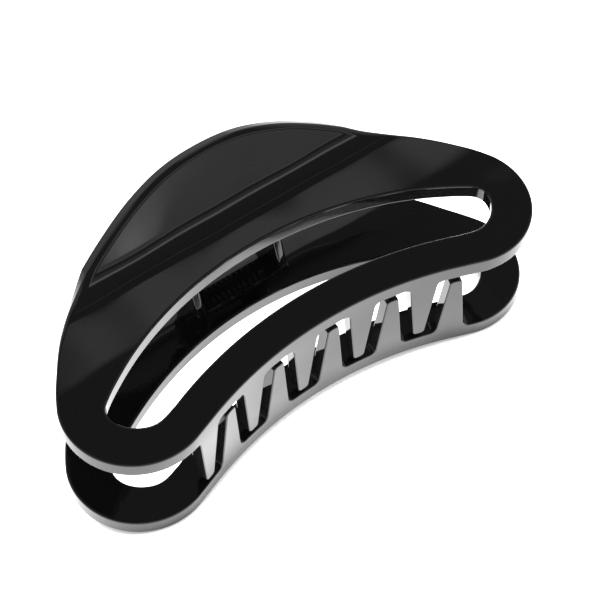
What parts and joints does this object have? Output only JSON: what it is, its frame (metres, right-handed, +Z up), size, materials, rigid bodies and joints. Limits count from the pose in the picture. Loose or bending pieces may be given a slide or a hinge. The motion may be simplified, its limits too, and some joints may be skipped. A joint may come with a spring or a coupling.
{
  "type": "claw hair clip",
  "caption": "Half-moon claw hair clip: two slotted plastic jaws with interleaved teeth and curled thumb wings, sprung shut about a steel pin.",
  "frame": {"origin": "middle of the bounding box's base, on the surface that the closed clip lies on", "axes": "+X along the clip, +Y from the teeth towards the wings, +Z up"},
  "size_m": [0.1052, 0.0568, 0.0473],
  "materials": {
    "jaw_plastic": "polished black injection-moulded plastic",
    "hinge_steel": "drawn spring steel wire, blackened"
  },
  "bodies": {
    "lower": {"lower_jaw": "jaw_plastic", "hinge_pin": "hinge_steel", "spring_lower": "hinge_steel"},
    "upper": {"upper_jaw": "jaw_plastic", "spring_upper": "hinge_steel"}
  },
  "joints": [
    {"name": "jaw_hinge", "type": "hinge", "parent": "lower", "child": "upper", "pos_m": [0, 0.01339, 0.02187], "axis": [-1, 0, 0], "range_deg": [0, 50], "stiffness_Nm_per_rad": 0.1, "springref_deg": -68.75}
  ]
}
